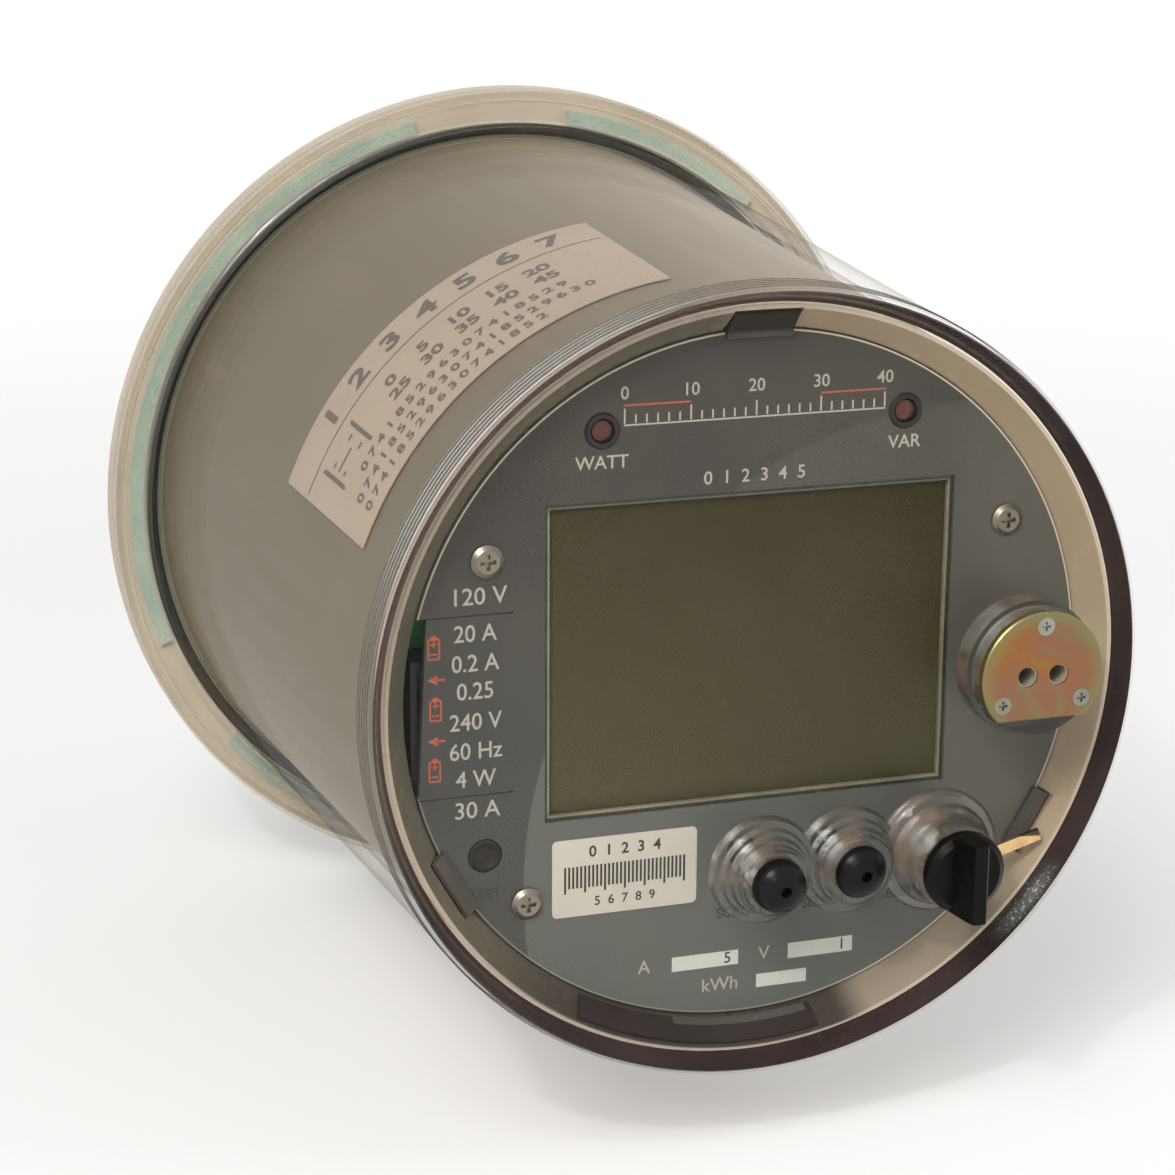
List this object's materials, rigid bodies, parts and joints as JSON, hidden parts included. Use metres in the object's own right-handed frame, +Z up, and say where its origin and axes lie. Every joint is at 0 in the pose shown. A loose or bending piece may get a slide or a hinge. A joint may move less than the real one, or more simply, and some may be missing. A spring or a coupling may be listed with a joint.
{
  "type": "socket electricity meter",
  "caption": "Round socket-mounted electronic electricity meter: clear tapered cover, grey face plate with display, push buttons, twist knob, optical port and rear blades.",
  "frame": {"origin": "centre of the base flange's flat rear face, the face that seats on the meter socket", "axes": "+Z up as the meter is read, the display faces -Y, +Y runs through the base along the blades, +X to the reader's right"},
  "size_m": [0.1766, 0.207, 0.1766],
  "materials": {
    "base": "moulded beige",
    "foam": "matte foam",
    "black_rubber": "matte",
    "tinned_blade": "tinned, brushed",
    "copper": "bare",
    "lead": "insulated wire",
    "core_case": "gloss",
    "housing": "moulded taupe",
    "label_paper": "printed film",
    "bezel": "cream, satin",
    "shield": "satin",
    "film": "gloss",
    "black_plastic": "moulded black",
    "post": "machined",
    "board": "solder resist",
    "magnetics": "taped",
    "capacitor": "sleeved",
    "ribbon": "matte",
    "display": "polarised glass",
    "diffuser": "white",
    "face_print": "two-tone grey print",
    "zinc": "bright zinc",
    "lamp": "red lens",
    "paper": "white film",
    "cell": "sleeved cell",
    "clear": "clear polycarbonate",
    "dark_gloss": "gloss",
    "yellow_zinc": "iridescent yellow chromate",
    "spring_steel": "wire",
    "brass": "bright"
  },
  "bodies": {
    "meter": {"base_plate": "base", "battery": "cell", "battery_holder": "black_plastic", "bezel_ring": "bezel", "busbar_centre": "copper", "busbar_left": "copper", "busbar_right": "copper", "chassis_frame": "black_plastic", "current_transformer_centre": "core_case", "current_transformer_left": "core_case", "current_transformer_right": "core_case", "display_board": "board", "faceplate": "face_print", "faceplate_screws": "zinc", "gasket_left": "foam", "gasket_lower_left": "foam", "gasket_lower_right": "foam", "gasket_upper_right": "foam", "housing_label": "label_paper", "inner_housing": "housing", "key_switches": "black_plastic", "lcd_backlight": "diffuser", "lcd_frame": "shield", "lcd_glass": "display", "led_collars": "black_plastic", "led_lenses": "lamp", "line_blades": "tinned_blade", "load_blades": "tinned_blade", "lower_posts": "post", "lower_shield": "shield", "measuring_board": "board", "middle_posts": "post", "potential_blades": "tinned_blade", "potential_leads": "lead", "power_board": "board", "processor_chip": "black_plastic", "ribbon_cable": "ribbon", "serial_label": "paper", "shield_strip": "film", "supply_capacitors": "capacitor", "supply_transformer": "magnetics", "upper_posts": "post"},
    "seal_ring": {"cover_seal_ring": "black_rubber"},
    "clear_cover": {"cover": "clear", "cover_turrets": "clear", "rim_ring": "dark_gloss", "port_plate": "yellow_zinc", "port_screws": "zinc", "port_windows": "dark_gloss", "scroll_spring": "spring_steel", "select_spring": "spring_steel"},
    "scroll_button": {"scroll_plunger": "black_plastic"},
    "select_button": {"select_plunger": "black_plastic"},
    "scroll_switch_key": {"scroll_key": "black_plastic"},
    "select_switch_key": {"select_key": "black_plastic"},
    "test_switch_button": {"test_button": "black_plastic"},
    "battery_door": {"battery_flap": "face_print"},
    "reset_control": {"reset_knob": "black_plastic", "reset_shaft": "black_plastic", "reset_lever": "brass"}
  },
  "joints": [
    {"name": "cover_twist", "type": "hinge", "parent": "meter", "child": "seal_ring", "pos_m": [0, -0.003, 0], "axis": [0, -1, 0], "range_deg": [0, 15]},
    {"name": "cover_pull", "type": "slide", "parent": "seal_ring", "child": "clear_cover", "axis": [0, -1, 0], "range_m": [0, 0.17]},
    {"name": "scroll_press", "type": "slide", "parent": "clear_cover", "child": "scroll_button", "axis": [0, 1, 0], "range_m": [0, 0.0025], "stiffness_N_per_m": 600, "springref_m": -0.002, "deforming": ["scroll_spring"]},
    {"name": "select_press", "type": "slide", "parent": "clear_cover", "child": "select_button", "axis": [0, 1, 0], "range_m": [0, 0.0025], "stiffness_N_per_m": 600, "springref_m": -0.002, "deforming": ["select_spring"]},
    {"name": "scroll_key_press", "type": "slide", "parent": "meter", "child": "scroll_switch_key", "axis": [0, 1, 0], "range_m": [0, 0.0025]},
    {"name": "select_key_press", "type": "slide", "parent": "meter", "child": "select_switch_key", "axis": [0, 1, 0], "range_m": [0, 0.0025]},
    {"name": "test_press", "type": "slide", "parent": "meter", "child": "test_switch_button", "axis": [0, 1, 0], "range_m": [0, 0.001], "stiffness_N_per_m": 1000, "springref_m": -0.001},
    {"name": "reset_turn", "type": "hinge", "parent": "clear_cover", "child": "reset_control", "pos_m": [0.0325, -0.17, -0.0319], "axis": [0, -1, 0], "range_deg": [0, 90]},
    {"name": "flap_open", "type": "hinge", "parent": "meter", "child": "battery_door", "pos_m": [-0.0448, -0.1532, 0.00015], "axis": [0, 0, 1], "range_deg": [0, 20]}
  ],
  "couplings": [
    {"joint": "scroll_key_press", "follows": "scroll_press", "ratio": 1},
    {"joint": "select_key_press", "follows": "select_press", "ratio": 1}
  ]
}
